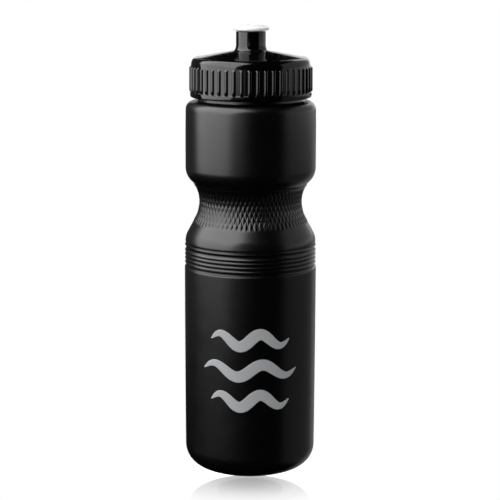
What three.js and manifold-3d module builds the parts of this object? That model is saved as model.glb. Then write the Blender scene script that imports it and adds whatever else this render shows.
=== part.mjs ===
// A sports squeeze bottle, in millimetres, +Z up. The origin is the centre of the base, on the surface
// that the bottle stands on. Four pieces: the blow-moulded bottle, the screw lid with its drinking
// spout, the seal ring between them, and the push-pull valve that slides in the spout.
import * as THREE from "three";
import { mergeVertices } from "three/addons/utils/BufferGeometryUtils.js";
import Module from "manifold-3d";

const wasm = await Module();
wasm.setup();

// Facets round the axis, and steps in each round stretch of an outline.
const ROUND = 44;
const ARC_STEPS = 2;

// Gap between pieces that touch or slide.
const GAP = 0.3;

// Bottle, from the base up.
const WALL = 1.5;
const BODY_R = 36.6;
const FOOT_R = 36.35;
const BASE_CORNER = 12.4;
const BASE_RING_INNER_R = 20;
const PUSH_UP = 4;
const WALL_TOP_Z = 115;
const RING_R = 36.4;
const GROOVE_COUNT = 5;
const GROOVE_PITCH = 2.26;
const GROOVE_DEPTH = 0.7;
const GROOVE_LOWEST_Z = 116.1;
const HIP_R = 36.2;
const HIP_ARC = 11.6;
const HIP_Z = 128.6;
const HIP_SLOPE = 28.4;
const WAIST_R = 28.3;
const WAIST_LOW_ARC = 20;
const WAIST_HIGH_ARC = 17.4;
const WAIST_TOP_Z = 162.4;
const CHEST_R = 36;
const CHEST_TOP_R = 35.8;
const CHEST_ARC = 10.3;
const CHEST_LOW_Z = 170.2;
const SHOULDER_ARC = 4.6;
const SHOULDER_Z = 206.8;
const NECK_R = 29.2;
const NECK_WALL = 1.8;
const LIP_Z = 224.5;

// Screw thread, which the neck and the lid share.
const PITCH = 6;
const THREAD_BASE = 2.6;
const THREAD_CREST = 1.2;
const NECK_THREAD = { rootR: NECK_R, crestR: 30.75, firstZ: 212, from: 0, turns: 1.5 };
const LID_THREAD = { rootR: 31.2, crestR: 29.75, firstZ: 212 - PITCH / 2, from: 0.3, turns: 1.25 };
const STEPS_PER_TURN = 32;

// Lid.
const LID_Z = 209;
const RIM_R = 33.4;
const LID_TOP_R = 32.9;
const LID_CORNER_Z = 225;
const CREASE = { r: 30.4, z: 229.4 };
const DOME_TOP = { r: 9.6, z: 234.2 };
const DOME_BULGE = 0.35;
const LID_WALL = 1.5;
const CEILING_Z = 226.7;
const CEILING_INNER_R = 26;
const RIB_COUNT = 48;
const RIB_R = 33.9;
const RIB_PHASE = -0.12;
const RIB_SHARE = 0.5;
const RIB_TOP_SHARE = 0.25;
const RIB_LOW_Z = 211.8;
const RIB_HIGH_Z = 224.9;

// Drinking spout on the lid, its sealing post, and the valve in it.
const SPOUT_R = 8.2;
const SPOUT_TOP_Z = 244.7;
const SPOUT_LOW_Z = 230.3;
const SPOUT_BORE_R = 7;
const SPOUT_MOUTH_R = 6.35;
const SPOUT_MOUTH_Z = 242.9;
const POST_R = 2.6;
const POST_TIP_R = 1.95;
const POST_TOP_Z = 247.9;
const SPOKE_COUNT = 3;
const SPOKE = { width: 1.6, height: 2.5 };
const VALVE_LOW_Z = 234.5;
const VALVE_BORE_R = 4.9;
const VALVE_CEILING_Z = 245.8;
const FLANGE_R = 10;
const VALVE_TOP_Z = 248.3;

// Seal ring.
const SEAL = { innerR: 26.4, outerR: 30.6, thickness: 1.6 };

const black = new THREE.MeshStandardMaterial({ color: 0x161617, roughness: 0.42, metalness: 0 });
const glossBlack = new THREE.MeshStandardMaterial({ color: 0x101011, roughness: 0.12, metalness: 0 });
const sealGrey = new THREE.MeshStandardMaterial({ color: 0xb9bcbd, roughness: 0.6, metalness: 0 });
const frosted = new THREE.MeshStandardMaterial({ color: 0xe8eaea, roughness: 0.35, metalness: 0 });

// Turns a closed outline of (radius, height) points round the Z axis.
function revolve(outline, segments = ROUND) {
  const geometry = new THREE.LatheGeometry(outline, segments);
  geometry.rotateX(Math.PI / 2);
  return geometry;
}

function solidOf(geometry) {
  const bare = geometry.index ? geometry.clone() : mergeVertices(geometry);
  bare.deleteAttribute("normal");
  bare.deleteAttribute("uv");
  const merged = mergeVertices(bare, 1e-3);
  const vertProperties = new Float32Array(merged.attributes.position.array);
  const triVerts = new Uint32Array(merged.index.array);
  return new wasm.Manifold(new wasm.Mesh({ numProp: 3, vertProperties, triVerts }));
}

function geometryOf(solid) {
  const { numProp, vertProperties, triVerts } = solid.getMesh();
  const count = vertProperties.length / numProp;
  const position = new Float32Array(count * 3);
  for (let i = 0; i < count; i++) {
    position.set(vertProperties.subarray(i * numProp, i * numProp + 3), i * 3);
  }
  const geometry = new THREE.BufferGeometry();
  geometry.setAttribute("position", new THREE.BufferAttribute(position, 3));
  geometry.setIndex(new THREE.BufferAttribute(new Uint32Array(triVerts), 1));
  geometry.computeVertexNormals();
  return geometry;
}

function piece(name, geometry, material) {
  const mesh = new THREE.Mesh(geometry, material);
  mesh.name = name;
  return mesh;
}

// One helical ridge: a straight bar of the thread's section, wrapped round the axis. Its ends fade into
// the wall over a twelfth of a turn. The root is sunk a little into the wall, so that the two join.
function threadRidge({ rootR, crestR, firstZ, from, turns }) {
  const sunkR = rootR + Math.sign(rootR - crestR) * 0.4;
  const outward = Math.sign(crestR - rootR);
  const section = new THREE.Shape();
  section.moveTo(0, -outward * THREAD_BASE / 2);
  section.lineTo(crestR - sunkR, -outward * THREAD_CREST / 2);
  section.lineTo(crestR - sunkR, outward * THREAD_CREST / 2);
  section.lineTo(0, outward * THREAD_BASE / 2);
  section.closePath();
  const steps = Math.round(turns * STEPS_PER_TURN);
  const bar = new THREE.ExtrudeGeometry(section, { depth: 1, steps, bevelEnabled: false });
  const fade = 1 / 12 / turns;
  const position = bar.attributes.position;
  for (let i = 0; i < position.count; i++) {
    const along = 1 - position.getZ(i);
    const height = Math.max(0.05, Math.min(1, along / fade, (1 - along) / fade));
    const radius = sunkR + position.getX(i) * height;
    const turn = from + along * turns;
    const angle = turn * 2 * Math.PI;
    const z = firstZ + turn * PITCH + position.getY(i);
    position.setXYZ(i, radius * Math.cos(angle), radius * Math.sin(angle), z);
  }
  return bar;
}

// The bottle's outline. A straight slope joins the hip's arc to the waist's lower arc, and sets the height
// of the waist's middle. The waist's upper arc ends in a corner under the chest.
const slope = (HIP_SLOPE * Math.PI) / 180;
const hip = { r: HIP_R - HIP_ARC, z: HIP_Z };
const slopeWidth = HIP_R - WAIST_R - (HIP_ARC + WAIST_LOW_ARC) * (1 - Math.cos(slope));
const slopeRise = slopeWidth / Math.tan(slope);
const waistZ = hip.z + (HIP_ARC + WAIST_LOW_ARC) * Math.sin(slope) + slopeRise;
const lowWaistR = WAIST_R + WAIST_LOW_ARC;
const highWaistR = WAIST_R + WAIST_HIGH_ARC;
const waistAngle = Math.asin((WAIST_TOP_Z - waistZ) / WAIST_HIGH_ARC);
const chestR = CHEST_R - CHEST_ARC;
const chestAngle = Math.asin((CHEST_LOW_Z - WAIST_TOP_Z) / CHEST_ARC);
const shoulder = { r: CHEST_TOP_R - SHOULDER_ARC, z: SHOULDER_Z - SHOULDER_ARC };
const baseCornerR = FOOT_R - BASE_CORNER;
const ringsTopZ = GROOVE_LOWEST_Z + (GROOVE_COUNT - 0.5) * GROOVE_PITCH;
const ringWallR = RING_R - GROOVE_DEPTH - WALL;

function bottleOutline() {
  const o = new THREE.Path();
  o.moveTo(0, PUSH_UP);
  o.lineTo(BASE_RING_INNER_R - 5, PUSH_UP - 0.8);
  o.lineTo(BASE_RING_INNER_R, 0);
  o.lineTo(baseCornerR, 0);
  o.absarc(baseCornerR, BASE_CORNER, BASE_CORNER, -Math.PI / 2, 0, false);
  o.lineTo(BODY_R, WALL_TOP_Z);
  for (let i = 0; i < GROOVE_COUNT; i++) {
    const z = GROOVE_LOWEST_Z + i * GROOVE_PITCH;
    o.lineTo(RING_R - GROOVE_DEPTH, z);
    o.lineTo(RING_R, z + GROOVE_PITCH / 2);
  }
  o.absarc(hip.r, hip.z, HIP_ARC, 0, slope, false);
  o.absarc(lowWaistR, waistZ, WAIST_LOW_ARC, Math.PI + slope, Math.PI, true);
  o.absarc(highWaistR, waistZ, WAIST_HIGH_ARC, Math.PI, Math.PI - waistAngle, true);
  o.absarc(chestR, CHEST_LOW_Z, CHEST_ARC, -chestAngle, 0, false);
  o.absarc(shoulder.r, shoulder.z, SHOULDER_ARC, 0, Math.PI / 2, false);
  o.lineTo(NECK_R, SHOULDER_Z + 0.6);
  o.lineTo(NECK_R, LIP_Z - 0.5);
  o.lineTo(NECK_R - 0.5, LIP_Z);
  // Down the inside.
  o.lineTo(NECK_R - NECK_WALL, LIP_Z);
  o.lineTo(NECK_R - NECK_WALL, SHOULDER_Z - WALL);
  o.absarc(shoulder.r, shoulder.z, SHOULDER_ARC - WALL, Math.PI / 2, 0, true);
  o.absarc(chestR, CHEST_LOW_Z, CHEST_ARC - WALL, 0, -chestAngle, true);
  o.absarc(highWaistR, waistZ, WAIST_HIGH_ARC + WALL, Math.PI - waistAngle, Math.PI, false);
  o.absarc(lowWaistR, waistZ, WAIST_LOW_ARC + WALL, Math.PI, Math.PI + slope, false);
  o.absarc(hip.r, hip.z, HIP_ARC - WALL, slope, slope / 3, true);
  o.lineTo(ringWallR, ringsTopZ);
  o.lineTo(ringWallR, WALL_TOP_Z - 1);
  o.lineTo(BODY_R - WALL, WALL_TOP_Z - 4);
  o.absarc(baseCornerR, BASE_CORNER, BASE_CORNER - WALL, 0, -Math.PI / 2, true);
  o.lineTo(BASE_RING_INNER_R + 1, WALL);
  o.lineTo(BASE_RING_INNER_R - 4, PUSH_UP + 0.7);
  o.lineTo(0, PUSH_UP + WALL);
  return o.getPoints(ARC_STEPS);
}

function bottleBody() {
  return solidOf(revolve(bottleOutline())).add(solidOf(threadRidge(NECK_THREAD)));
}

function lidOutline() {
  const o = new THREE.Path();
  const domeMiddle = (CREASE.r + DOME_TOP.r) / 2;
  const domeMiddleZ = (CREASE.z + DOME_TOP.z) / 2 + DOME_BULGE;
  o.moveTo(LID_THREAD.rootR + 0.4, LID_Z);
  o.lineTo(RIM_R - 0.3, LID_Z);
  o.lineTo(RIM_R, LID_Z + 0.4);
  o.lineTo(LID_TOP_R, LID_CORNER_Z);
  o.quadraticCurveTo(LID_TOP_R - 0.6, CREASE.z - 1, CREASE.r, CREASE.z);
  o.quadraticCurveTo(domeMiddle, domeMiddleZ, DOME_TOP.r, DOME_TOP.z);
  o.quadraticCurveTo(SPOUT_R, DOME_TOP.z + 0.3, SPOUT_R, DOME_TOP.z + 1.6);
  o.lineTo(SPOUT_R, SPOUT_TOP_Z - 0.3);
  o.lineTo(SPOUT_R - 0.3, SPOUT_TOP_Z);
  // Down the spout's bore, and outwards under the dome.
  o.lineTo(SPOUT_MOUTH_R + 0.3, SPOUT_TOP_Z);
  o.lineTo(SPOUT_MOUTH_R, SPOUT_TOP_Z - 0.3);
  o.lineTo(SPOUT_MOUTH_R, SPOUT_MOUTH_Z + 0.4);
  o.lineTo(SPOUT_BORE_R, SPOUT_MOUTH_Z);
  o.lineTo(SPOUT_BORE_R, SPOUT_LOW_Z);
  o.lineTo(SPOUT_BORE_R + LID_WALL, SPOUT_LOW_Z);
  o.lineTo(SPOUT_BORE_R + LID_WALL, DOME_TOP.z - LID_WALL);
  o.quadraticCurveTo(domeMiddle, domeMiddleZ - LID_WALL, CEILING_INNER_R, CREASE.z - 0.8);
  o.lineTo(CEILING_INNER_R, CEILING_Z);
  o.lineTo(LID_THREAD.rootR, CEILING_Z);
  o.lineTo(LID_THREAD.rootR, LID_Z + 1);
  o.closePath();
  return o.getPoints(ARC_STEPS);
}

// The grip: a ring with one tooth for each rib, standing out from the lid's wall. The first rib's middle
// lies RIB_PHASE of a pitch off the X axis.
function gripRing() {
  const outline = new THREE.Shape();
  const buriedR = LID_TOP_R - 0.1;
  for (let i = 0; i < RIB_COUNT; i++) {
    const middle = ((i + RIB_PHASE) / RIB_COUNT) * 2 * Math.PI;
    const half = (RIB_SHARE * Math.PI) / RIB_COUNT;
    const halfTop = (RIB_TOP_SHARE * Math.PI) / RIB_COUNT;
    for (const [angle, radius] of [
      [middle - half, buriedR],
      [middle - halfTop, RIB_R],
      [middle + halfTop, RIB_R],
      [middle + half, buriedR],
    ]) {
      const x = radius * Math.cos(angle);
      const y = radius * Math.sin(angle);
      if (i === 0 && angle < middle && radius === buriedR) outline.moveTo(x, y);
      else outline.lineTo(x, y);
    }
  }
  outline.closePath();
  const hole = new THREE.Path();
  hole.absarc(0, 0, buriedR - 0.6, 0, 2 * Math.PI, true);
  outline.holes.push(hole);
  const ring = new THREE.ExtrudeGeometry(outline, {
    depth: RIB_HIGH_Z - RIB_LOW_Z,
    steps: 1,
    bevelEnabled: false,
    curveSegments: ROUND / 2,
  });
  ring.translate(0, 0, RIB_LOW_Z);
  return ring;
}

// The post that plugs the valve's hole when the valve is pushed down.
function sealingPost() {
  const shoulderZ = POST_TOP_Z - 4;
  return revolve(
    [
      new THREE.Vector2(0, SPOUT_LOW_Z),
      new THREE.Vector2(POST_R, SPOUT_LOW_Z),
      new THREE.Vector2(POST_R, shoulderZ - 1),
      new THREE.Vector2(POST_TIP_R, shoulderZ),
      new THREE.Vector2(POST_TIP_R, POST_TOP_Z - 0.4),
      new THREE.Vector2(POST_TIP_R - 0.4, POST_TOP_Z),
      new THREE.Vector2(0, POST_TOP_Z),
    ],
    24,
  );
}

function spoke(index) {
  const inner = POST_R - 0.4;
  const outer = SPOUT_BORE_R + 0.6;
  const web = new THREE.BoxGeometry(outer - inner, SPOKE.width, SPOKE.height);
  web.translate((inner + outer) / 2, 0, SPOUT_LOW_Z + SPOKE.height / 2);
  web.rotateZ((index / SPOKE_COUNT) * 2 * Math.PI);
  return web;
}

function screwLid() {
  let lid = solidOf(revolve(lidOutline()));
  lid = lid.add(solidOf(gripRing()));
  lid = lid.add(solidOf(threadRidge(LID_THREAD)));
  lid = lid.add(solidOf(sealingPost()));
  for (let i = 0; i < SPOKE_COUNT; i++) lid = lid.add(solidOf(spoke(i)));
  return lid;
}

function sealRing() {
  const low = LIP_Z + GAP;
  const high = low + SEAL.thickness;
  const o = new THREE.Path();
  o.moveTo(SEAL.innerR, low);
  o.lineTo(SEAL.outerR, low);
  o.lineTo(SEAL.outerR, high);
  o.lineTo(SEAL.innerR, high);
  o.closePath();
  return revolve(o.getPoints(1));
}

function pushPullValve() {
  const tubeR = SPOUT_MOUTH_R - GAP;
  const beadR = SPOUT_BORE_R - GAP;
  const holeR = POST_TIP_R + GAP;
  const flangeZ = SPOUT_TOP_Z + GAP;
  const o = new THREE.Path();
  o.moveTo(VALVE_BORE_R, VALVE_LOW_Z);
  o.lineTo(beadR - 0.3, VALVE_LOW_Z);
  o.lineTo(beadR, VALVE_LOW_Z + 0.6);
  o.lineTo(beadR, VALVE_LOW_Z + 1.3);
  o.lineTo(tubeR, VALVE_LOW_Z + 1.9);
  o.lineTo(tubeR, flangeZ);
  o.lineTo(FLANGE_R - 1.7, flangeZ);
  o.quadraticCurveTo(FLANGE_R, flangeZ + 0.4, FLANGE_R, flangeZ + 1.3);
  o.quadraticCurveTo(FLANGE_R, flangeZ + 2.2, FLANGE_R - 1, flangeZ + 2.4);
  o.quadraticCurveTo(FLANGE_R - 4, VALVE_TOP_Z, holeR + 0.5, VALVE_TOP_Z);
  o.lineTo(holeR, VALVE_TOP_Z - 0.4);
  o.lineTo(holeR, VALVE_CEILING_Z);
  o.lineTo(VALVE_BORE_R, VALVE_CEILING_Z);
  o.closePath();
  return revolve(o.getPoints(ARC_STEPS), 32);
}

const bottle = new THREE.Group();
bottle.add(piece("bottle_body", geometryOf(bottleBody()), black));
bottle.add(piece("screw_lid", geometryOf(screwLid()), glossBlack));
bottle.add(piece("lid_seal_ring", sealRing(), sealGrey));
bottle.add(piece("push_pull_valve", pushPullValve(), frosted));

export default bottle;
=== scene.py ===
"""A sports squeeze bottle: blow-moulded body, ribbed screw lid, seal ring and push-pull valve.

Lengths in the script are in millimetres, and turn into metres where a mesh is made. Heights are above
the surface that the bottle stands on. The print faces -Y.
"""

import math

import bpy
from bpy.props import FloatProperty, FloatVectorProperty, IntProperty, PointerProperty
from mathutils import Matrix, Vector


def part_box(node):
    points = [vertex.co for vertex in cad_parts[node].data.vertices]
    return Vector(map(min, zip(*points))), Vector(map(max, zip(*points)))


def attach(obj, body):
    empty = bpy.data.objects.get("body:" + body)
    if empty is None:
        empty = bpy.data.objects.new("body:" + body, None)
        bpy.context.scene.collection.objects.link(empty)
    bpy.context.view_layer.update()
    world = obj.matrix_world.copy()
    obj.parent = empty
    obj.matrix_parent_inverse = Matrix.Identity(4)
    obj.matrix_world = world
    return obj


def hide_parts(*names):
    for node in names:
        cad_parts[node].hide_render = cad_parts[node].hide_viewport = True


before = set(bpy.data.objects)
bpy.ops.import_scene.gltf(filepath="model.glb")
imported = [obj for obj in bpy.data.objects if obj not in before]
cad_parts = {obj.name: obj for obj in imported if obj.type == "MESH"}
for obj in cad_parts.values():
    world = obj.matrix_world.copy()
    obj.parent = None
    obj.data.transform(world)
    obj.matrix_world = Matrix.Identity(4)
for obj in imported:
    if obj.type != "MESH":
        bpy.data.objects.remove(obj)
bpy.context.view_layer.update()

bl_info = {
    "name": "Sports Squeeze Bottle",
    "version": (1, 0, 0),
    "blender": (4, 5, 0),
    "location": "View3D > Sidebar > Squeeze Bottle",
    "description": "Builds a squeeze bottle with a knurled waist, a ribbed screw lid and a push-pull valve",
    "category": "Add Mesh",
}

MM = 0.001


def extent(node):
    """The radius, lowest height and highest height of a round CAD node, in millimetres."""
    low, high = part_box(node)
    return high[0] / MM, low[2] / MM, high[2] / MM


BODY_R, _, LIP_Z = extent("bottle_body")
RIB_R, LID_Z, POST_TOP_Z = extent("screw_lid")
SEAL_R, SEAL_LOW_Z, SEAL_TOP_Z = extent("lid_seal_ring")
FLANGE_R, VALVE_LOW_Z, VALVE_TOP_Z = extent("push_pull_valve")

# Bottle, from the base up.
WALL = 1.5
FOOT_R = BODY_R - 0.25
BASE_CORNER = 12.4
BASE_RING_INNER_R = 20.0
PUSH_UP = 4.0
WALL_TOP_Z = 115.0
WALL_EDGE = 0.7
HIP_R = BODY_R - 0.4
HIP_ARC = 11.6
HIP_Z = 128.6
HIP_START = 3
HIP_SLOPE = 28.4
WAIST_R = 28.3
WAIST_LOW_ARC = 20.0
WAIST_HIGH_ARC = 17.4
WAIST_TOP_Z = 162.4
CHEST_R = 36.0
CHEST_TOP_R = 35.8
CHEST_ARC = 10.3
CHEST_LOW_Z = 170.2
SHOULDER_ARC = 4.6
SHOULDER_Z = 206.8
NECK_R = 29.2
NECK_WALL = 1.8

# Rings: sharp crests between round grooves, over the wall's edge. Above them comes one shallow groove.
RING_R = BODY_R - 0.15
RING_CREST = 0.16
RINGS_TOP_Z = 127.0
GROOVE_COUNT = 5
GROOVE_PITCH = 2.26
GROOVE_LOWEST_Z = 116.1
HIP_GROOVE_DEPTH = 0.14
HIP_GROOVE_TOP_Z = HIP_Z + 0.6

# Knurl: rows of diamonds between the hip's upper slope and a thin lip under the chest.
KNURL_LOW_Z = 138.8
KNURL_HIGH_Z = 159.8
KNURL_MEAN_R = 31.0
KNURL_SUNK_SHARE = 0.6
DIAMOND_TALL = 5.8
DIAMOND_FLANK = 0.42
LIP_RIDGE_Z = 160.4
LIP_RIDGE_HEIGHT = 0.25
LIP_RIDGE_HALF_WIDTH = 0.8
PARTING_LINE_HEIGHT = 0.05

# Printed waves. The upper and the lower one are shorter than the middle one.
WAVE_RISE = 3.4
WAVE_CRESTS = 2
WAVE_LENGTHS = (0.82, 1.0, 0.82)

# Screw thread, which the neck and the lid share.
PITCH = 6.0
THREAD_BASE = 2.6
THREAD_CREST = 1.2
NECK_THREAD = {"root": NECK_R, "crest": 30.75, "first_z": 212.0, "start": 0.0, "turns": 1.5}
LID_THREAD = {"root": 31.2, "crest": 29.75, "first_z": 209.0, "start": 0.3, "turns": 1.25}

# Lid.
RIM_R = 33.4
RIM_EDGE = 0.8
RIM_STEP = 0.4
LID_TOP_R = 32.93
RIB_LOW_Z = 211.9
RIB_HIGH_Z = 225.9
RIB_HALF_WIDTH = 1.15
RIB_LOW_FADE = 0.6
RIB_HIGH_FADE = 1.0
RIB_PHASE = -0.12
LID_CORNER_Z = 226.2
CREASE_R = 30.2
CREASE_TOP_Z = 230.4
DOME_TOP_R = 9.6
DOME_TOP_Z = 234.2
CEILING_Z = 226.7
CEILING_INNER_R = 26.0
SPOUT_R = 8.2
SPOUT_EDGE = 0.35
SPOUT_TOP_Z = 244.7
SPOUT_LOW_Z = 230.3
SPOUT_BORE_R = 7.0
SPOUT_MOUTH_R = 6.35
SPOUT_MOUTH_Z = 242.9
POST_R = 2.6
POST_TIP_R = 1.95
SPOKE_COUNT = 3
SPOKE_WIDE = 1.6
SPOKE_TALL = 2.5

# Valve.
VALVE_BORE_R = 4.9
VALVE_CEILING_Z = 245.8
GAP = 0.3

SEAL_WIDE = 4.2
SEAL_EDGE = 0.25

# Points round each kind of ring. A finer ring holds a whole number of points for each coarser one.
ROUND_COARSE = 144
ROUND_BODY = 288
ROUND_KNURL = 576
ROUND_VALVE = 128
POINTS_PER_RIB = 16
RIB_POINT_SHARES = (0.0, 0.3, 0.58, 0.8, 0.94, 1.02, 1.18, 1.6)

# Studio, in metres. Each light has its bearing in degrees, its lower and its upper edge as distance from
# the axis and height, its width, the stage setting that gives its radiance, and its share of that.
LIGHTS = {
    "key_softbox": (-71, (1.2, -0.03), (0.85, 0.5), 1.6, "key", 1.0),
    "front_softbox": (-23, (1.2, 0.1), (1.15, 0.3), 0.46, "key", 0.4),
    "top_softbox": (-73, (0.85, 0.5), (0.25, 1.45), 1.6, "top", 1.0),
    "fill_panel": (116, (1.3, 0.07), (1.3, 0.33), 3.4, "fill", 1.0),
    "upper_fill_panel": (116, (1.3, 0.33), (1.3, 1.5), 3.4, "fill", 0.6),
    "lower_fill_panel": (101, (1.3, -1.2), (1.3, 0.07), 2.2, "fill", 0.17),
    "rear_fill_panel": (158, (1.3, -1.2), (1.3, 0.07), 0.95, "fill", 0.5),
    "side_panel": (161, (1.3, 0.16), (1.3, 1.2), 0.45, "side", 1.0),
    "left_panel": (-145, (1.4, -0.3), (1.4, 1.2), 1.5, "left", 1.0),
    "back_panel": (180, (1.6, -0.8), (1.6, 0.55), 0.62, "rim", 1.0),
}
FLOOR_HALF = 20.0
MIRROR_SHARE = 0.6
MIRROR_REACH = 0.058


def linear(hex_colour):
    """The linear colour, with alpha, of an sRGB hex value."""
    channels = [int(hex_colour[i : i + 2], 16) / 255 for i in (1, 3, 5)]
    return tuple(c / 12.92 if c <= 0.04045 else ((c + 0.055) / 1.055) ** 2.4 for c in channels) + (1.0,)


def smooth(t):
    """Eases from 0 to 1 as t goes from 0 to 1."""
    t = min(1.0, max(0.0, t))
    return t * t * (3 - 2 * t)


# Outlines and meshes


def arc(centre, radius, start, end, steps):
    """Points (radius, height) on a round stretch of an outline, with its angles in degrees."""
    angles = [math.radians(start + (end - start) * i / steps) for i in range(steps + 1)]
    return [(centre[0] + radius * math.cos(a), centre[1] + radius * math.sin(a)) for a in angles]


def curve(start, bend, end, steps):
    """Points on a quadratic curve from start to end that heads for bend."""
    points = []
    for i in range(steps + 1):
        t = i / steps
        a, b, c = (1 - t) ** 2, 2 * t * (1 - t), t * t
        points.append((a * start[0] + b * bend[0] + c * end[0], a * start[1] + b * bend[1] + c * end[1]))
    return points


def outline_normal(outline, index, closed):
    """The direction out of the solid at one point of an outline that has the solid on its left."""
    last = len(outline) - 1
    before = outline[index - 1] if index > 0 or closed else outline[0]
    after = outline[(index + 1) % len(outline)] if index < last or closed else outline[last]
    along_r, along_z = after[0] - before[0], after[1] - before[1]
    length = math.hypot(along_r, along_z) or 1.0
    return along_z / length, -along_r / length


def join_rings(faces, lower, upper):
    """Adds the faces between two rings of point numbers, whose counts may differ by a whole factor."""
    if len(lower) == len(upper):
        count = len(lower)
        if count > 1:
            for j in range(count):
                k = (j + 1) % count
                faces.append((lower[j], lower[k], upper[k], upper[j]))
        return
    fine, coarse = (lower, upper) if len(lower) > len(upper) else (upper, lower)
    factor = len(fine) // len(coarse)
    turned = fine is upper
    for j, first in enumerate(coarse):
        second = coarse[(j + 1) % len(coarse)]
        for i in range(factor):
            a, b = fine[j * factor + i], fine[(j * factor + i + 1) % len(fine)]
            corner = first if i < (factor + 1) // 2 else second
            faces.append((corner, b, a) if turned else (a, b, corner))
        middle = fine[(j * factor + (factor + 1) // 2) % len(fine)]
        if first != second:
            faces.append((first, second, middle) if turned else (middle, second, first))


def revolve(outline, closed=False, relief=None, spread=None):
    """Turns an outline of (radius, height, points round) about Z, and returns its points and faces.

    relief gives the height that a point stands out of the surface, from its turn (0 to 1), radius and
    height. spread moves the even turns to uneven ones.
    """
    points, rings = [], []
    for index, (radius, height, count) in enumerate(outline):
        if radius == 0:
            rings.append([len(points)])
            points.append((0.0, 0.0, height))
            continue
        out_r, out_z = outline_normal(outline, index, closed)
        ring = []
        for j in range(count):
            turn = spread(j / count) if spread else j / count
            raised = relief(turn, radius, height) if relief else 0.0
            r, z = radius + raised * out_r, height + raised * out_z
            angle = turn * math.tau
            ring.append(len(points))
            points.append((r * math.cos(angle), r * math.sin(angle), z))
        rings.append(ring)
    faces = []
    for lower, upper in zip(rings, rings[1:]):
        join_rings(faces, lower, upper)
    if closed:
        join_rings(faces, rings[-1], rings[0])
    return points, faces


def with_count(outline, count):
    """The outline's points, each with the number of points on its ring."""
    return [(r, z, count) for r, z in outline]


def thread_ridge(root, crest, first_z, start, turns):
    """Points and faces of a helical ridge that fades into the wall at both ends."""
    steps_per_turn = 144
    outward = math.copysign(1, crest - root)
    sunk = root - outward * 0.4
    half_base, half_crest = THREAD_BASE / 2, THREAD_CREST / 2
    section = [
        (sunk, -half_base),
        (crest - outward * 0.35, -half_crest - 0.15),
        (crest - outward * 0.08, -half_crest + 0.08),
        (crest, -half_crest + 0.35),
        (crest, half_crest - 0.35),
        (crest - outward * 0.08, half_crest - 0.08),
        (crest - outward * 0.35, half_crest + 0.15),
        (sunk, half_base),
    ]
    if outward < 0:
        section.reverse()
    steps = round(turns * steps_per_turn)
    points, faces = [], []
    for i in range(steps + 1):
        along = i / steps
        height = smooth(min(along, 1 - along) * turns * 12)
        turn = start + along * turns
        angle = turn * math.tau
        for r, z in section:
            radius = sunk + (r - sunk) * height
            rise = first_z + turn * PITCH + z * (0.5 + 0.5 * height)
            points.append((radius * math.cos(angle), radius * math.sin(angle), rise))
    size = len(section)
    for i in range(steps):
        for j in range(size):
            k = (j + 1) % size
            a, b = i * size, (i + 1) * size
            faces.append((a + j, b + j, b + k, a + k))
    faces.append(tuple(range(size)))
    faces.append(tuple(reversed(range(steps * size, steps * size + size))))
    return points, faces


def make_piece(name, parts, material, sharp_degrees=38):
    """One mesh object in metres from several (points, faces), smooth but for its sharp edges."""
    points, faces = [], []
    for part_points, part_faces in parts:
        offset = len(points)
        points += [(x * MM, y * MM, z * MM) for x, y, z in part_points]
        faces += [tuple(i + offset for i in face) for face in part_faces]
    mesh = bpy.data.meshes.new(name)
    mesh.from_pydata(points, [], faces)
    mesh.validate()
    mesh.shade_smooth()
    mesh.set_sharp_from_angle(angle=math.radians(sharp_degrees))
    mesh.materials.append(material)
    piece = bpy.data.objects.new(name, mesh)
    bpy.context.scene.collection.objects.link(piece)
    return piece


# Materials


def add_node(tree, kind, values=None, **settings):
    """Adds a node, with its settings, and sets or links each input named in values."""
    node = tree.nodes.new(kind)
    for key, value in settings.items():
        setattr(node, key, value)
    for key, value in (values or {}).items():
        if isinstance(value, bpy.types.NodeSocket):
            tree.links.new(value, node.inputs[key])
        else:
            node.inputs[key].default_value = value
    return node


def new_material(name):
    """An empty node material, its node tree and its surface input."""
    material = bpy.data.materials.new(name)
    material.use_nodes = True
    tree = material.node_tree
    tree.nodes.clear()
    output = add_node(tree, "ShaderNodeOutputMaterial")
    return material, tree, output.inputs["Surface"]


def grain(tree, size, detail=2.0):
    """Noise whose features measure size millimetres, as a node with a Fac output."""
    place = add_node(tree, "ShaderNodeTexCoord").outputs["Object"]
    return add_node(
        tree, "ShaderNodeTexNoise", {"Vector": place, "Scale": 1 / (size * MM), "Detail": detail}
    )


def satin_hdpe(colour, roughness):
    """High-density polyethylene, blown against a finely blasted mould. The blasting leaves an
    eggshell grain about 0.4 mm across that breaks a reflection's edge into a soft, dry sheen."""
    material, tree, surface = new_material("satin_blow_moulded_hdpe")
    eggshell = grain(tree, 0.45)
    bump = add_node(
        tree,
        "ShaderNodeBump",
        {"Height": eggshell.outputs["Fac"], "Strength": 0.35, "Distance": 0.02 * MM},
    )
    cloud = grain(tree, 9.0, 3.0)
    rough = add_node(
        tree,
        "ShaderNodeMapRange",
        {"Value": cloud.outputs["Fac"], "To Min": roughness - 0.04, "To Max": roughness + 0.04},
    )
    shader = add_node(
        tree,
        "ShaderNodeBsdfPrincipled",
        {
            "Base Color": colour,
            "IOR": 1.54,
            "Roughness": rough.outputs["Result"],
            "Normal": bump.outputs["Normal"],
        },
    )
    tree.links.new(shader.outputs["BSDF"], surface)
    return material


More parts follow.
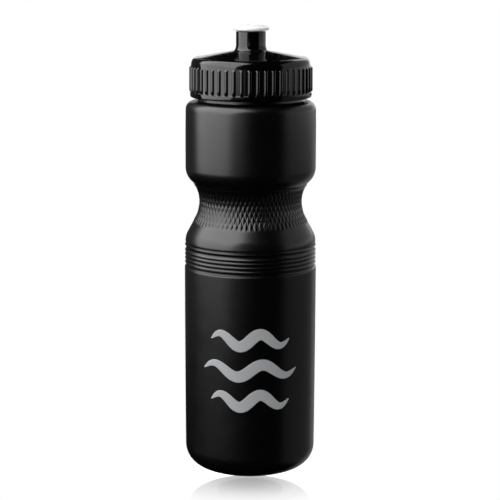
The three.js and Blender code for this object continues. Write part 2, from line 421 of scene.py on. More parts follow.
def polished_pp(colour, roughness):
    """Polypropylene, injected into a polished mould. It mirrors its surroundings, a little wavy from
    shrinkage over 8 mm or so, with a haze of fine handling marks."""
    material, tree, surface = new_material("glossy_injection_moulded_pp")
    shrinkage = grain(tree, 8.0, 1.0)
    bump = add_node(
        tree,
        "ShaderNodeBump",
        {"Height": shrinkage.outputs["Fac"], "Strength": 0.3, "Distance": 0.05 * MM},
    )
    haze = grain(tree, 3.0, 4.0)
    rough = add_node(
        tree,
        "ShaderNodeMapRange",
        {"Value": haze.outputs["Fac"], "To Min": roughness - 0.03, "To Max": roughness + 0.05},
    )
    shader = add_node(
        tree,
        "ShaderNodeBsdfPrincipled",
        {
            "Base Color": colour,
            "IOR": 1.49,
            "Roughness": rough.outputs["Result"],
            "Normal": bump.outputs["Normal"],
        },
    )
    tree.links.new(shader.outputs["BSDF"], surface)
    return material


def frosted_ldpe(colour):
    """Low-density polyethylene without pigment, injection moulded. Light soaks a few millimetres into
    it, so it looks milky, bright at its thin rim and greyer over the dark spout."""
    material, tree, surface = new_material("milky_injection_moulded_ldpe")
    skin = grain(tree, 0.6)
    bump = add_node(
        tree,
        "ShaderNodeBump",
        {"Height": skin.outputs["Fac"], "Strength": 0.15, "Distance": 0.02 * MM},
    )
    milk = grain(tree, 4.0)
    tint = add_node(
        tree,
        "ShaderNodeMix",
        {"Factor": milk.outputs["Fac"], 6: colour, 7: [c * 0.94 for c in colour[:3]] + [1.0]},
        data_type="RGBA",
    )
    shader = add_node(
        tree,
        "ShaderNodeBsdfPrincipled",
        {
            "Base Color": tint.outputs[2],
            "IOR": 1.51,
            "Roughness": 0.28,
            "Subsurface Weight": 0.6,
            "Subsurface Radius": (1.0, 1.0, 1.0),
            "Subsurface Scale": 2.0 * MM,
            "Normal": bump.outputs["Normal"],
        },
    )
    tree.links.new(shader.outputs["BSDF"], surface)
    return material


def seal_foam(colour):
    """Closed-cell polyethylene foam, stamped from sheet. Its cells are about 0.3 mm across and give a
    dull, finely dimpled face."""
    material, tree, surface = new_material("stamped_pe_foam")
    place = add_node(tree, "ShaderNodeTexCoord").outputs["Object"]
    cells = add_node(tree, "ShaderNodeTexVoronoi", {"Vector": place, "Scale": 1 / (0.35 * MM)})
    bump = add_node(
        tree,
        "ShaderNodeBump",
        {"Height": cells.outputs["Distance"], "Strength": 0.5, "Distance": 0.05 * MM},
    )
    tint = add_node(
        tree,
        "ShaderNodeMix",
        {"Factor": cells.outputs["Distance"], 6: colour, 7: [c * 0.8 for c in colour[:3]] + [1.0]},
        data_type="RGBA",
    )
    shader = add_node(
        tree,
        "ShaderNodeBsdfPrincipled",
        {"Base Color": tint.outputs[2], "Roughness": 0.75, "Normal": bump.outputs["Normal"]},
    )
    tree.links.new(shader.outputs["BSDF"], surface)
    return material


def screen_ink(colour):
    """Grey screen-printing ink, cured on the plastic. It is a smooth satin film whose mesh marks,
    about 0.2 mm apart, only just mottle its tone."""
    material, tree, surface = new_material("cured_screen_ink")
    mesh_marks = grain(tree, 0.25)
    tint = add_node(
        tree,
        "ShaderNodeMix",
        {"Factor": mesh_marks.outputs["Fac"], 6: colour, 7: [c * 0.86 for c in colour[:3]] + [1.0]},
        data_type="RGBA",
    )
    bump = add_node(
        tree,
        "ShaderNodeBump",
        {"Height": mesh_marks.outputs["Fac"], "Strength": 0.15, "Distance": 0.01 * MM},
    )
    shader = add_node(
        tree,
        "ShaderNodeBsdfPrincipled",
        {
            "Base Color": tint.outputs[2],
            "IOR": 1.5,
            "Roughness": 0.42,
            "Normal": bump.outputs["Normal"],
        },
    )
    tree.links.new(shader.outputs["BSDF"], surface)
    return material


def light_table(colour, mirror_share, mirror_reach):
    """The top of a light table: opal acrylic, lit from below, so it shows no shadow. Its polish mirrors
    what stands on it, most of all right under the object."""
    material, tree, surface = new_material("lit_opal_acrylic")
    place = add_node(tree, "ShaderNodeTexCoord").outputs["Object"]
    from_axis = add_node(tree, "ShaderNodeVectorMath", {0: place}, operation="LENGTH")
    share = add_node(
        tree,
        "ShaderNodeMapRange",
        {
            "Value": from_axis.outputs["Value"],
            "From Min": 0.002,
            "From Max": mirror_reach,
            "To Min": mirror_share,
            "To Max": 0.0,
        },
        interpolation_type="SMOOTHSTEP",
    )
    lit = add_node(tree, "ShaderNodeEmission", {"Color": colour, "Strength": 1.0})
    mirror = add_node(tree, "ShaderNodeBsdfGlossy", {"Color": (1, 1, 1, 1), "Roughness": 0.0})
    both = add_node(
        tree,
        "ShaderNodeMixShader",
        {"Fac": share.outputs["Result"], 1: lit.outputs["Emission"], 2: mirror.outputs["BSDF"]},
    )
    tree.links.new(both.outputs["Shader"], surface)
    return material


# The bottle


def wall_radius(z):
    """The lower wall's radius at a height. It swells by a quarter of a millimetre on its way up."""
    share = (z - BASE_CORNER) / (WALL_TOP_Z - BASE_CORNER)
    return FOOT_R + (BODY_R - FOOT_R) * math.sin(math.pi / 2 * min(1.0, max(0.0, share) * 1.15))


def groove(low_z, high_z, radius, depth, steps):
    """A hollow round groove between two heights on the wall, from its lower edge to its upper one."""
    half = (high_z - low_z) / 2
    bend = (half * half + depth * depth) / (2 * depth)
    edge = math.degrees(math.asin(half / bend))
    return arc((radius - depth + bend, low_z + half), bend, 180 + edge, 180 - edge, steps)


def ring_outline(depth):
    """The moulded rings, from the wall's rounded edge up to the hip.

    The lowest groove has an upright floor down to the wall's edge, and the highest one is wider.
    """
    floor_r = RING_R - depth
    points = arc((BODY_R - WALL_EDGE, WALL_TOP_Z - WALL_EDGE), WALL_EDGE, 0, 70, 6)
    points += [(floor_r + 0.12, WALL_TOP_Z + 0.06), (floor_r, WALL_TOP_Z + 0.25)]
    half = GROOVE_PITCH / 2
    lowest = groove(GROOVE_LOWEST_Z - half, GROOVE_LOWEST_Z + half - RING_CREST / 2, RING_R, depth, 12)
    points += lowest[7:]
    for i in range(1, GROOVE_COUNT):
        low = GROOVE_LOWEST_Z + (i - 0.5) * GROOVE_PITCH + RING_CREST / 2
        high = low + GROOVE_PITCH - RING_CREST if i < GROOVE_COUNT - 1 else RINGS_TOP_Z
        points += groove(low, high, RING_R, depth, 12)
    return points + groove(RINGS_TOP_Z + RING_CREST, HIP_GROOVE_TOP_Z, HIP_R, HIP_GROOVE_DEPTH, 8)


def body_arcs():
    """The arcs of the upper body, each as centre, radius, first and last angle, from the hip up.

    A straight slope joins the hip to the waist's lower arc. The waist's upper arc ends in a corner
    under the chest.
    """
    slope = math.radians(HIP_SLOPE)
    both = HIP_ARC + WAIST_LOW_ARC
    slope_width = HIP_R - WAIST_R - both * (1 - math.cos(slope))
    waist_z = HIP_Z + both * math.sin(slope) + slope_width / math.tan(slope)
    waist_end = math.degrees(math.asin((WAIST_TOP_Z - waist_z) / WAIST_HIGH_ARC))
    chest_start = math.degrees(math.asin((CHEST_LOW_Z - WAIST_TOP_Z) / CHEST_ARC))
    hip = ((HIP_R - HIP_ARC, HIP_Z), HIP_ARC, HIP_START, HIP_SLOPE)
    low_waist = ((WAIST_R + WAIST_LOW_ARC, waist_z), WAIST_LOW_ARC, 180 + HIP_SLOPE, 180)
    high_waist = ((WAIST_R + WAIST_HIGH_ARC, waist_z), WAIST_HIGH_ARC, 180, 180 - waist_end)
    chest = ((CHEST_R - CHEST_ARC, CHEST_LOW_Z), CHEST_ARC, -chest_start, 0)
    return hip, low_waist, high_waist, chest


def offset_arc(given, outward, steps):
    """The points of an arc from body_arcs, on a wall that lies outward of it, in the other direction."""
    centre, radius, start, end = given
    hollow = start >= 180
    return arc(centre, radius - outward if hollow else radius + outward, end, start, steps)


def straight(start, end, steps):
    """Points on a line, without its two ends."""
    return [
        (start[0] + (end[0] - start[0]) * i / steps, start[1] + (end[1] - start[1]) * i / steps)
        for i in range(1, steps)
    ]


def bottle_outline(ring_depth):
    """The bottle's outline: under the base, up the outside, over the lip and down the inside."""
    hip, low_waist, high_waist, chest = body_arcs()
    corner_r = FOOT_R - BASE_CORNER
    outside = curve((6.0, PUSH_UP), (13.0, PUSH_UP - 0.2), (BASE_RING_INNER_R - 3, 1.5), 5)
    ring_edge = (BASE_RING_INNER_R, 0.0)
    outside += curve((BASE_RING_INNER_R - 2, 0.6), (BASE_RING_INNER_R - 1, 0.0), ring_edge, 3)
    outside += arc((corner_r, BASE_CORNER), BASE_CORNER, -90, -2, 14)
    wall_steps = 12
    for i in range(wall_steps + 1):
        z = BASE_CORNER + (WALL_TOP_Z - 1.2 - BASE_CORNER) * i / wall_steps
        outside.append((wall_radius(z), z))
    outside += ring_outline(ring_depth)
    outside += arc(*hip, 26)[1:]
    knurled = arc(*low_waist, 30)
    knurled = straight(outside[-1], knurled[0], 22) + knurled
    knurled += arc(*high_waist, 40)[1:]
    upper = arc(*chest, 16)
    upper += [(CHEST_R, 176.0), (CHEST_R, 186.0), ((CHEST_R + CHEST_TOP_R) / 2 + 0.03, 194.0)]
    shoulder = (CHEST_TOP_R - SHOULDER_ARC, SHOULDER_Z - SHOULDER_ARC)
    upper += arc(shoulder, SHOULDER_ARC, 0, 90, 12)
    upper += curve((NECK_R + 0.9, SHOULDER_Z), (NECK_R, SHOULDER_Z), (NECK_R, SHOULDER_Z + 0.9), 4)
    upper += arc((NECK_R - 0.6, LIP_Z - 0.6), 0.6, 0, 90, 4)
    inner_neck_r = NECK_R - NECK_WALL
    upper += arc((inner_neck_r + 0.5, LIP_Z - 0.5), 0.5, 90, 180, 4)
    inside = [(inner_neck_r, SHOULDER_Z - WALL - 0.5)]
    inside += arc(shoulder, SHOULDER_ARC - WALL, 90, 0, 5)
    inside += offset_arc(chest, -WALL, 6) + offset_arc(high_waist, -WALL, 6)
    inside += offset_arc(low_waist, -WALL, 6) + offset_arc(hip, -WALL, 6)
    ring_wall_r = RING_R - ring_depth - WALL
    inside += [(ring_wall_r, RINGS_TOP_Z - 1), (ring_wall_r, WALL_TOP_Z - 1)]
    inside += [(FOOT_R - WALL, WALL_TOP_Z - 4)]
    inside += arc((corner_r, BASE_CORNER), BASE_CORNER - WALL, 0, -90, 8)
    inside += [(BASE_RING_INNER_R, WALL), (BASE_RING_INNER_R - 4, PUSH_UP + 0.6)]
    inside += [(6.0, PUSH_UP + WALL)]
    return (
        [(0, PUSH_UP, 1)]
        + with_count(outside, ROUND_BODY)
        + with_count(knurled, ROUND_KNURL)
        + with_count(upper, ROUND_BODY)
        + with_count(inside, ROUND_COARSE)
        + [(0, PUSH_UP + WALL, 1)]
    )


def diamond(turn, z, columns):
    """How far a point stands up the diamond that it is in, from 0 in the grooves to 1 on top."""
    across = turn * columns
    up = (z - KNURL_LOW_Z) / DIAMOND_TALL
    first, second = up + across, up - across
    if math.floor(first) + math.floor(second) < 0:
        return 0.0
    spacing = 1 / math.hypot(columns / (math.tau * KNURL_MEAN_R), 1 / DIAMOND_TALL)
    to_groove = min(first % 1, 1 - first % 1, second % 1, 1 - second % 1) * spacing
    pad = min(1.0, to_groove / (DIAMOND_FLANK * spacing))
    return 1 - (1 - pad) ** 2


def bottle_relief(turn, radius, z):
    """The height of the waist's knurl, its lip and the mould's parting lines."""
    body = bpy.context.scene.squeeze_bottle.body
    if radius < WAIST_R - 0.6 or z < 20 or z > SHOULDER_Z:
        return 0.0
    raised = 0.0
    if KNURL_LOW_Z - 1 < z < KNURL_HIGH_Z:
        top_fade = smooth((KNURL_HIGH_Z - z) / 0.8)
        low_fade = smooth((z - KNURL_LOW_Z + 0.2) / 2.0)
        height = body.knurl_height / MM * low_fade * top_fade
        raised += height * (diamond(turn, z, body.knurl_columns) - KNURL_SUNK_SHARE)
    raised += LIP_RIDGE_HEIGHT * smooth(1 - abs(z - LIP_RIDGE_Z) / LIP_RIDGE_HALF_WIDTH)
    if min(turn % 0.5, 0.5 - turn % 0.5) * ROUND_BODY < 0.25:
        raised += PARTING_LINE_HEIGHT
    return raised


def wave_stroke(centre_z, length, thick, rise, crests, raised):
    """Points and faces of one printed wave on the bottle's front, thin at both ends."""
    rows = (-1.0, -0.93, -0.8, -0.4, 0.0, 0.4, 0.8, 0.93, 1.0)
    lift = (0.0, 0.75, 1.0, 1.0, 1.0, 1.0, 1.0, 0.75, 0.0)
    steps = 120
    points, faces = [], []
    for i in range(steps + 1):
        along = i / steps
        x = (along - 0.5) * length
        wave = rise * math.sin(along * crests * math.tau)
        slope = rise * crests * math.tau / length * math.cos(along * crests * math.tau)
        half = thick / 2 * max(0.02, math.sin(math.pi * along)) ** 0.55
        lean = math.hypot(1, slope)
        for row, share in zip(rows, lift):
            across = x - row * half * slope / lean
            z = centre_z + wave + row * half / lean
            radius = wall_radius(z) - 0.02 + raised * share
            angle = across / BODY_R - math.pi / 2
            points.append((radius * math.cos(angle), radius * math.sin(angle), z))
    size = len(rows)
    for i in range(steps):
        for j in range(size - 1):
            a, b = i * size + j, (i + 1) * size + j
            faces.append((a, b, b + 1, a + 1))
    return points, faces


# The lid


def rib_spread(rib_count):
    """A function that gathers a ring's points on the ribs, where the wall bends."""
    pitch = math.tau * RIB_R / rib_count
    half = [RIB_HALF_WIDTH * share for share in RIB_POINT_SHARES]
    places = half + [pitch / 2] + [pitch - place for place in reversed(half[1:])]

    def spread(even_turn):
        rib, step = divmod(round(even_turn * rib_count * POINTS_PER_RIB), POINTS_PER_RIB)
        return (rib + RIB_PHASE + places[step] / pitch) / rib_count

    return spread


def rib_relief(rib_count, rib_height):
    """A function that gives the height of a rib over the lid's wall. A rib is round across."""
    pitch = math.tau * RIB_R / rib_count
    bend = (RIB_HALF_WIDTH**2 + rib_height**2) / (2 * rib_height)

    def relief(turn, radius, z):
        if radius < LID_TOP_R - 0.5 or not RIB_LOW_Z < z < RIB_HIGH_Z:
            return 0.0
        place = ((turn * rib_count - RIB_PHASE) % 1) * pitch
        from_middle = min(place, pitch - place)
        if from_middle >= RIB_HALF_WIDTH:
            return 0.0
        bead = math.sqrt(bend**2 - from_middle**2) - (bend - rib_height)
        return bead * smooth((z - RIB_LOW_Z) / RIB_LOW_FADE) * smooth((RIB_HIGH_Z - z) / RIB_HIGH_FADE)

    return relief


def lid_outline(rib_count):
    """The lid's outline: round its rim, up over the ribs and the dome, up the spout and down inside."""
    fine = rib_count * POINTS_PER_RIB
    inner_r = LID_THREAD["root"]
    rim = [(inner_r + 0.5, LID_Z), (RIM_R - RIM_EDGE - 0.1, LID_Z)]
    rim += arc((RIM_R - RIM_EDGE, LID_Z + RIM_EDGE), RIM_EDGE, -75, 0, 5)
    foot_r, foot_z = RIM_R - RIM_STEP, RIB_LOW_Z + 0.5
    wall = [(RIM_R, RIB_LOW_Z - 0.5)]
    wall += curve((RIM_R, RIB_LOW_Z - 0.15), (foot_r + 0.1, RIB_LOW_Z + 0.1), (foot_r, foot_z), 5)
    # Heights over the ribs' feet, close together where the ribs fade out.
    for rise in (0.3, 2.5, 5.0, 7.5, 10.0, 12.0, 12.25, 12.5, 12.75, 13.0, 13.3):
        share = rise / (RIB_HIGH_Z - foot_z)
        wall.append((foot_r + (LID_TOP_R - foot_r) * share, foot_z + rise))
    corner = (LID_TOP_R - 0.35, CREASE_TOP_Z - 0.3)
    top = curve((LID_TOP_R, LID_CORNER_Z), corner, (CREASE_R + 0.4, CREASE_TOP_Z), 12)
    top += [(CREASE_R + 0.15, CREASE_TOP_Z - 0.05), (CREASE_R, CREASE_TOP_Z - 0.2)]
    middle = ((CREASE_R + DOME_TOP_R) / 2, (CREASE_TOP_Z + DOME_TOP_Z) / 2 + 0.35)
    top += curve((CREASE_R - 0.3, CREASE_TOP_Z + 0.05), middle, (DOME_TOP_R, DOME_TOP_Z), 16)
    spout_foot = (SPOUT_R + 0.25, DOME_TOP_Z + 0.5)
    top += curve((DOME_TOP_R - 0.3, DOME_TOP_Z + 0.12), spout_foot, (SPOUT_R, DOME_TOP_Z + 3.0), 8)
    top += arc((SPOUT_R - SPOUT_EDGE, SPOUT_TOP_Z - SPOUT_EDGE), SPOUT_EDGE, 0, 90, 4)
    shell_r = SPOUT_BORE_R + WALL
    bore = arc((SPOUT_MOUTH_R + 0.3, SPOUT_TOP_Z - 0.3), 0.3, 90, 180, 3)
    bore += [(SPOUT_MOUTH_R, SPOUT_MOUTH_Z + 0.4), (SPOUT_BORE_R, SPOUT_MOUTH_Z)]
    bore += [(SPOUT_BORE_R, SPOUT_LOW_Z), (shell_r, SPOUT_LOW_Z), (shell_r, DOME_TOP_Z - WALL - 0.4)]
    bore += [(CEILING_INNER_R, CREASE_TOP_Z - 0.6), (CEILING_INNER_R, CEILING_Z)]
    bore += [(inner_r, CEILING_Z), (inner_r, LID_Z + 0.6)]
    return (
        with_count(rim, fine // 4)
        + with_count(wall, fine)
        + with_count(top, fine // 2)
        + with_count(bore, fine // 4)
    )


def sealing_post():
    """The post in the spout, whose tip plugs the valve's hole."""
    shoulder_z = POST_TOP_Z - 4
    outline = [(POST_R, SPOUT_LOW_Z), (POST_R, shoulder_z - 1), (POST_TIP_R, shoulder_z)]
    outline += arc((POST_TIP_R - 0.5, POST_TOP_Z - 0.5), 0.5, 0, 90, 4)
    return revolve([(0, SPOUT_LOW_Z, 1)] + with_count(outline, 48) + [(0, POST_TOP_Z, 1)])


def spoke(index):
    """One of the webs that hold the post in the spout."""
    inner, outer, half = POST_R - 0.4, SPOUT_BORE_R + 0.6, SPOKE_WIDE / 2
    plan = ((inner, -half), (outer, -half), (outer, half), (inner, half))
    corners = [(x, y, z) for z in (0, SPOKE_TALL) for x, y in plan]
    turned = Matrix.Rotation(index / SPOKE_COUNT * math.tau, 3, "Z")
    points = [tuple(turned @ Vector(c) + Vector((0, 0, SPOUT_LOW_Z))) for c in corners]
    faces = [(3, 2, 1, 0), (4, 5, 6, 7), (0, 1, 5, 4), (1, 2, 6, 5), (2, 3, 7, 6), (3, 0, 4, 7)]
    return points, faces


# The valve


def valve_outline():
    """The valve's outline: up its tube and round the flange, and down through its hole."""
    tube_r = SPOUT_MOUTH_R - GAP
    bead_r = SPOUT_BORE_R - GAP
    hole_r = POST_TIP_R + GAP
    flange_z = SPOUT_TOP_Z + GAP
    low_z = VALVE_LOW_Z
    outline = [(VALVE_BORE_R, low_z), (bead_r - 0.4, low_z)]
    outline += curve((bead_r - 0.2, low_z + 0.1), (bead_r, low_z + 0.6), (bead_r, low_z + 1.3), 4)
    outline += [(tube_r, low_z + 1.9), (tube_r, flange_z - 0.3), (tube_r + 0.3, flange_z)]
    widest = (FLANGE_R, flange_z + 1.35)
    outline += curve((FLANGE_R - 1.8, flange_z), (FLANGE_R, flange_z + 0.25), widest, 8)
    outline += curve(widest, (FLANGE_R, flange_z + 2.2), (FLANGE_R - 1.1, flange_z + 2.45), 8)[1:]
    disc_r, hole_edge = FLANGE_R - 5.0, (hole_r + 1.2, VALVE_TOP_Z)
    outline += curve((FLANGE_R - 1.6, flange_z + 2.56), (disc_r, VALVE_TOP_Z), hole_edge, 8)
    outline += arc((hole_r + 0.4, VALVE_TOP_Z - 0.4), 0.4, 90, 180, 4)
    outline += [(hole_r, VALVE_CEILING_Z), (VALVE_BORE_R, VALVE_CEILING_Z)]
    return with_count(outline, ROUND_VALVE)


# Settings


class BodySettings(bpy.types.PropertyGroup):
    """Sizes and finish of the squeezable bottle."""

    colour: FloatVectorProperty(
        name="Plastic colour",
        description="Colour of the bottle's plastic",
        subtype="COLOR",
        size=4,
        min=0,
        max=1,
        default=linear("#010101"),
    )
    roughness: FloatProperty(
        name="Roughness",
        description="How dull the bottle's plastic is",
        subtype="FACTOR",
        min=0.1,
        max=1,
        default=0.3,
    )
    ring_depth: FloatProperty(
        name="Ring depth",
        description="Depth of the grooves between the rings",
        unit="LENGTH",
        default=0.7 * MM,
    )
    knurl_columns: IntProperty(
        name="Knurl columns",
        description="Diamonds in one row round the waist",
        min=36,
        max=96,
        default=72,
    )
    knurl_height: FloatProperty(
        name="Knurl height",
        description="Height of a diamond over its grooves",
        unit="LENGTH",
        default=0.34 * MM,
    )


class LidSettings(bpy.types.PropertyGroup):
    """Sizes and finish of the screw lid and its seal."""

    colour: FloatVectorProperty(
        name="Lid colour",
        description="Colour of the lid's plastic",
        subtype="COLOR",
        size=4,
        min=0,
        max=1,
        default=linear("#020202"),
    )
    roughness: FloatProperty(
        name="Roughness",
        description="How dull the lid's plastic is",
        subtype="FACTOR",
        min=0.03,
        max=1,
        default=0.11,
    )
    rib_count: IntProperty(name="Ribs", description="Grip ribs round the lid", min=24, max=60, default=48)
    rib_height: FloatProperty(
        name="Rib height",
        description="How far a rib stands out of the lid's wall",
        unit="LENGTH",
        default=0.9 * MM,
    )
    seal_colour: FloatVectorProperty(
        name="Seal colour",
        description="Colour of the seal ring's foam",
        subtype="COLOR",
        size=4,
        min=0,
        max=1,
        default=linear("#B9BCBD"),
    )


class ValveSettings(bpy.types.PropertyGroup):
    """Finish of the push-pull valve."""

    colour: FloatVectorProperty(
        name="Valve colour",
        description="Colour of the valve's milky plastic",
        subtype="COLOR",
        size=4,
        min=0,
        max=1,
        default=linear("#D2D4D4"),
    )


class PrintSettings(bpy.types.PropertyGroup):
    """Size and colour of the printed waves."""

    colour: FloatVectorProperty(
        name="Ink colour",
        description="Colour of the printed waves",
        subtype="COLOR",
        size=4,
        min=0,
        max=1,
        default=linear("#838587"),
    )
    middle: FloatProperty(
        name="Middle", description="Height of the middle wave", unit="LENGTH", default=63 * MM
    )
    length: FloatProperty(
        name="Length", description="Length of a wave round the bottle", unit="LENGTH", default=55 * MM
    )
    thick: FloatProperty(
        name="Thickness", description="Width of a wave's stroke", unit="LENGTH", default=6.6 * MM
    )
    spacing: FloatProperty(
        name="Spacing", description="Height from one wave to the next", unit="LENGTH", default=17 * MM
    )
    raised: FloatProperty(
        name="Ink height", description="How far the ink stands up", unit="LENGTH", default=0.12 * MM
    )


class StageSettings(bpy.types.PropertyGroup):
    """The camera, the lights and the floor."""

    distance: FloatProperty(
        name="Camera distance", description="From the camera to its target", unit="LENGTH", default=0.96
    )
    target: FloatProperty(
        name="Target height", description="Height that the camera aims at", unit="LENGTH", default=0.1233
    )
    elevation: FloatProperty(
        name="Elevation",
        description="How far the camera looks down",
        subtype="ANGLE",
        default=math.radians(10.6),
    )
    roll: FloatProperty(
        name="Roll", description="How far the camera leans", subtype="ANGLE", default=math.radians(0.17)
    )
    shift: FloatProperty(
        name="Shift", description="Sideways shift of the lens, in picture widths", default=-0.0008
    )
    lens: FloatProperty(
        name="Lens", description="Focal length in millimetres on a 36 mm sensor", default=123.84
    )
    key: FloatProperty(
        name="Key light", description="Radiance of the big softbox at the left", default=3.5
    )
    top: FloatProperty(name="Top light", description="Radiance of the softbox overhead", default=4.4)
    fill: FloatProperty(
        name="Fill light", description="Radiance of the dim panel at the right", default=0.8
    )
    side: FloatProperty(
        name="Side light", description="Radiance of the panel at the right rear", default=0.9
    )
    left: FloatProperty(
        name="Left light", description="Radiance of the dim panel at the left rear", default=0.06
    )
    rim: FloatProperty(name="Back light", description="Radiance of the panel behind", default=1.1)
    pane: FloatProperty(
        name="Pane",
        description="Thickness of the clear pane that lies on the light table",
        unit="LENGTH",
        default=8.0 * MM,
    )
    ceiling: FloatProperty(
        name="Ceiling light", description="Soft light from all round above", default=1.6
    )
    room: FloatProperty(
        name="Room light", description="Radiance of the rest of the studio", default=0.001
    )


class SqueezeBottleSettings(bpy.types.PropertyGroup):
    """All that can be changed before the bottle is built."""

    body: PointerProperty(type=BodySettings)
    lid: PointerProperty(type=LidSettings)
    valve: PointerProperty(type=ValveSettings)
    print: PointerProperty(type=PrintSettings)
    stage: PointerProperty(type=StageSettings)


# Operators


class BOTTLE_OT_body(bpy.types.Operator):
    """Build the bottle with its rings, knurled waist and threaded neck"""

    bl_idname = "bottle.body"
    bl_label = "Bottle"

    def execute(self, context):
        body = context.scene.squeeze_bottle.body
        shell = revolve(bottle_outline(body.ring_depth / MM), relief=bottle_relief)
        thread = thread_ridge(**NECK_THREAD)
        piece = make_piece("squeeze_bottle", [shell, thread], satin_hdpe(body.colour, body.roughness))
        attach(piece, "bottle")
        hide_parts("bottle_body")
        return {"FINISHED"}


class BOTTLE_OT_print(bpy.types.Operator):
    """Print three waves on the bottle's front"""

    bl_idname = "bottle.print"
    bl_label = "Printed waves"

    def execute(self, context):
        ink = context.scene.squeeze_bottle.print
        strokes = []
        for index, share in enumerate(WAVE_LENGTHS):
            strokes.append(
                wave_stroke(
                    centre_z=(ink.middle + (index - 1) * ink.spacing) / MM,
                    length=ink.length / MM * share,
                    thick=ink.thick / MM,
                    rise=WAVE_RISE,
                    crests=WAVE_CRESTS,
                    raised=ink.raised / MM,
                )
            )
        piece = make_piece("printed_waves", strokes, screen_ink(ink.colour))
        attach(piece, "bottle")
        return {"FINISHED"}


class BOTTLE_OT_lid(bpy.types.Operator):
    """Build the ribbed screw lid with its spout, sealing post and inner thread"""

    bl_idname = "bottle.lid"
    bl_label = "Screw lid"

    def execute(self, context):
        lid = context.scene.squeeze_bottle.lid
        shell = revolve(
            lid_outline(lid.rib_count),
            closed=True,
            relief=rib_relief(lid.rib_count, lid.rib_height / MM),
            spread=rib_spread(lid.rib_count),
        )
        parts = [shell, thread_ridge(**LID_THREAD), sealing_post()]
        parts += [spoke(i) for i in range(SPOKE_COUNT)]
        piece = make_piece("ribbed_lid", parts, polished_pp(lid.colour, lid.roughness))
        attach(piece, "lid")
        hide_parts("screw_lid")
        return {"FINISHED"}


class BOTTLE_OT_seal(bpy.types.Operator):
    """Build the foam seal ring between the bottle's lip and the lid"""

    bl_idname = "bottle.seal"
    bl_label = "Seal ring"

    def execute(self, context):
        low, high = SEAL_LOW_Z, SEAL_TOP_Z
        inner, outer, edge = SEAL_R - SEAL_WIDE, SEAL_R, SEAL_EDGE
        outline = arc((outer - edge, low + edge), edge, -90, 0, 3)
        outline += arc((outer - edge, high - edge), edge, 0, 90, 3)
        outline += arc((inner + edge, high - edge), edge, 90, 180, 3)
        outline += arc((inner + edge, low + edge), edge, 180, 270, 3)
        ring = revolve(with_count(outline, ROUND_COARSE), closed=True)
        colour = context.scene.squeeze_bottle.lid.seal_colour
        piece = make_piece("foam_seal", [ring], seal_foam(colour))
        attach(piece, "seal")
        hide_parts("lid_seal_ring")
        return {"FINISHED"}


class BOTTLE_OT_valve(bpy.types.Operator):
    """Build the push-pull drinking valve"""

    bl_idname = "bottle.valve"
    bl_label = "Push-pull valve"

    def execute(self, context):
        colour = context.scene.squeeze_bottle.valve.colour
        piece = make_piece("drinking_valve", [revolve(valve_outline(), closed=True)], frosted_ldpe(colour))
        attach(piece, "valve")
        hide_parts("push_pull_valve")
        return {"FINISHED"}


def aim(thing, target):
    """Turns a camera or a light to look at a point."""
    thing.rotation_euler = (target - thing.location).to_track_quat("-Z", "Y").to_euler()


def softbox(name, bearing, low, high, width, radiance):
    """A flat rectangular light that faces the bottle's axis.

    low and high are its lower and upper edge, each as distance from the axis and height. bearing is in
    degrees, from -Y towards +X. radiance is how bright the light's face looks.
    """
    tall = math.hypot(high[0] - low[0], high[1] - low[1])
    light = bpy.data.lights.new(name, "AREA")
    light.shape = "RECTANGLE"
    light.size, light.size_y = width, tall
    light.energy = radiance * math.pi * width * tall
    box = bpy.data.objects.new(name, light)
    turn = Matrix.Rotation(math.radians(bearing), 3, "Z")
    middle = Vector((0, -(low[0] + high[0]) / 2, (low[1] + high[1]) / 2))
    inward = Vector((0, high[1] - low[1], high[0] - low[0]))
    box.location = turn @ middle
    aim(box, turn @ (middle + inward))
    box.visible_camera = False
    bpy.context.scene.collection.objects.link(box)


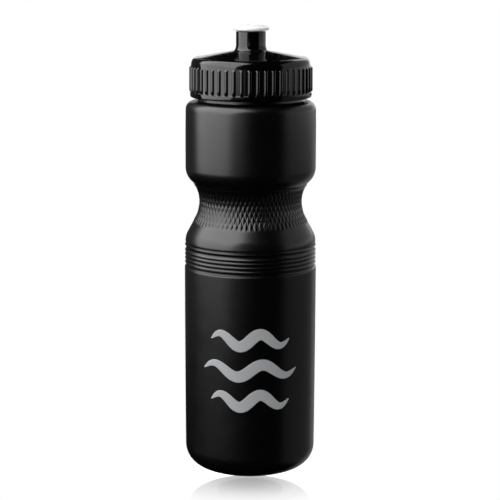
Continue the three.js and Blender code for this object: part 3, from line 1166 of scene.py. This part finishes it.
class BOTTLE_OT_stage(bpy.types.Operator):
    """Set up the camera, the softboxes, the white room and the floor"""

    bl_idname = "bottle.stage"
    bl_label = "Stage"

    def execute(self, context):
        stage = context.scene.squeeze_bottle.stage
        scene = context.scene
        scene.view_settings.view_transform = "Standard"

        camera_data = bpy.data.cameras.new("camera")
        camera_data.sensor_width = 36
        camera_data.lens = stage.lens
        camera_data.shift_x = stage.shift
        camera = bpy.data.objects.new("camera", camera_data)
        target = Vector((0, 0, stage.target))
        away = Vector((0, -math.cos(stage.elevation), math.sin(stage.elevation)))
        camera.location = target + away * stage.distance
        aim(camera, target)
        camera.rotation_euler.rotate_axis("Z", stage.roll)
        scene.collection.objects.link(camera)
        scene.camera = camera

        for name, (bearing, low, high, width, setting, share) in LIGHTS.items():
            softbox(name, bearing, low, high, width, share * getattr(stage, setting))

        sky = bpy.data.lights.new("ceiling_light", "SUN")
        sky.energy = stage.ceiling
        sky.angle = math.radians(150)
        ceiling = bpy.data.objects.new("ceiling_light", sky)
        ceiling.location = (0, 0, 2)
        ceiling.visible_glossy = False
        scene.collection.objects.link(ceiling)

        half = FLOOR_HALF
        corners = [(-half, -half, 0), (half, -half, 0), (half, half, 0), (-half, half, 0)]
        mesh = bpy.data.meshes.new("floor")
        mesh.from_pydata(corners, [], [(0, 1, 2, 3)])
        mesh.materials.append(light_table((1, 1, 1, 1), MIRROR_SHARE, MIRROR_REACH))
        floor = bpy.data.objects.new("floor", mesh)
        floor.location = (0, 0, -stage.pane)
        floor.visible_glossy = False
        floor.visible_shadow = False
        scene.collection.objects.link(floor)

        # The room is white to look at and in the floor's mirror. The bottle's plastic, which is never a
        # perfect mirror, reflects the dim room and the softboxes alone.
        world = bpy.data.worlds.new("white_room")
        world.use_nodes = True
        tree = world.node_tree
        tree.nodes.clear()
        path = add_node(tree, "ShaderNodeLightPath")
        seen = add_node(
            tree,
            "ShaderNodeMath",
            {0: path.outputs["Is Camera Ray"], 1: path.outputs["Is Singular Ray"]},
            operation="MAXIMUM",
        )
        strength = add_node(
            tree,
            "ShaderNodeMapRange",
            {"Value": seen.outputs["Value"], "To Min": stage.room, "To Max": 1.0},
        )
        white = add_node(
            tree, "ShaderNodeBackground", {"Color": (1, 1, 1, 1), "Strength": strength.outputs["Result"]}
        )
        add_node(tree, "ShaderNodeOutputWorld", {"Surface": white.outputs["Background"]})
        scene.world = world
        return {"FINISHED"}


class VIEW3D_PT_squeeze_bottle(bpy.types.Panel):
    """The bottle's settings and the buttons that build it"""

    bl_label = "Squeeze Bottle"
    bl_space_type = "VIEW_3D"
    bl_region_type = "UI"
    bl_category = "Squeeze Bottle"

    def draw(self, context):
        settings = context.scene.squeeze_bottle
        for group in (settings.body, settings.lid, settings.valve, settings.print, settings.stage):
            box = self.layout.box()
            for name in group.bl_rna.properties.keys():
                if name not in ("rna_type", "name"):
                    box.prop(group, name)
        for operator in OPERATORS:
            self.layout.operator(operator.bl_idname)


OPERATORS = (
    BOTTLE_OT_stage,
    BOTTLE_OT_body,
    BOTTLE_OT_print,
    BOTTLE_OT_seal,
    BOTTLE_OT_lid,
    BOTTLE_OT_valve,
)
CLASSES = (
    BodySettings,
    LidSettings,
    ValveSettings,
    PrintSettings,
    StageSettings,
    SqueezeBottleSettings,
    *OPERATORS,
    VIEW3D_PT_squeeze_bottle,
)


def register():
    """Registers the classes and hangs the settings on the scene."""
    for cls in CLASSES:
        bpy.utils.register_class(cls)
    bpy.types.Scene.squeeze_bottle = PointerProperty(type=SqueezeBottleSettings)


def unregister():
    """Takes away what register added."""
    del bpy.types.Scene.squeeze_bottle
    for cls in reversed(CLASSES):
        bpy.utils.unregister_class(cls)


def main():
    """Builds the stage, the bottle, its print, the seal, the lid and the valve."""
    register()
    bpy.ops.bottle.stage()
    bpy.ops.bottle.body()
    bpy.ops.bottle.print()
    bpy.ops.bottle.seal()
    bpy.ops.bottle.lid()
    bpy.ops.bottle.valve()


if __name__ == "__main__":
    main()
